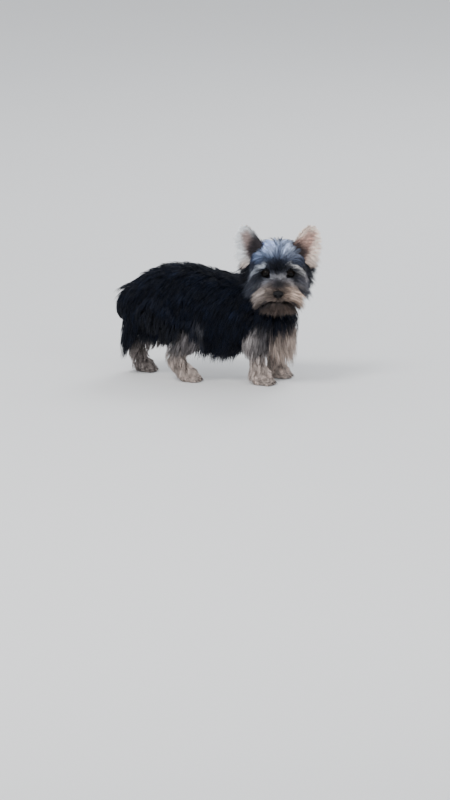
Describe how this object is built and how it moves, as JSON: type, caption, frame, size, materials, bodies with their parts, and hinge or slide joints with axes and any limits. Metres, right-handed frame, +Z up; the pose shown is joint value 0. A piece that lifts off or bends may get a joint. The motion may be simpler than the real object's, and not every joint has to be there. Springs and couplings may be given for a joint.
{
  "type": "yorkshire terrier",
  "caption": "Life-size still model of a young black and tan toy terrier in a slow walk, face turned to its right, with upright fringed ears and a shaggy coat.",
  "frame": {"origin": "on the floor, under the middle of the box round the whole dog", "axes": "+X forward along the body towards the chest, +Y to the dog's left, +Z up; the face looks along about -Y"},
  "size_m": [0.3202, 0.137, 0.2442],
  "materials": {
    "dark_coat": "near-black blue-tinged coat in long locks",
    "face_coat": "silver and tan hair of the head",
    "leg_coat": "tan hair of the legs and feet",
    "ear": "thin ear with short hair",
    "eye": "wet dark brown eye",
    "nose": "black pebbled nose leather"
  },
  "bodies": {
    "root": {"head": "face_coat", "neck": "dark_coat", "torso": "dark_coat", "tail": "dark_coat", "ear_left": "ear", "ear_right": "ear", "eye_left": "eye", "eye_right": "eye", "nose": "nose", "fore_leg_left": "leg_coat", "fore_leg_right": "leg_coat", "hind_leg_left": "leg_coat", "hind_leg_right": "leg_coat", "fore_paw_left": "leg_coat", "fore_paw_right": "leg_coat", "hind_paw_left": "leg_coat", "hind_paw_right": "leg_coat"}
  },
  "joints": []
}
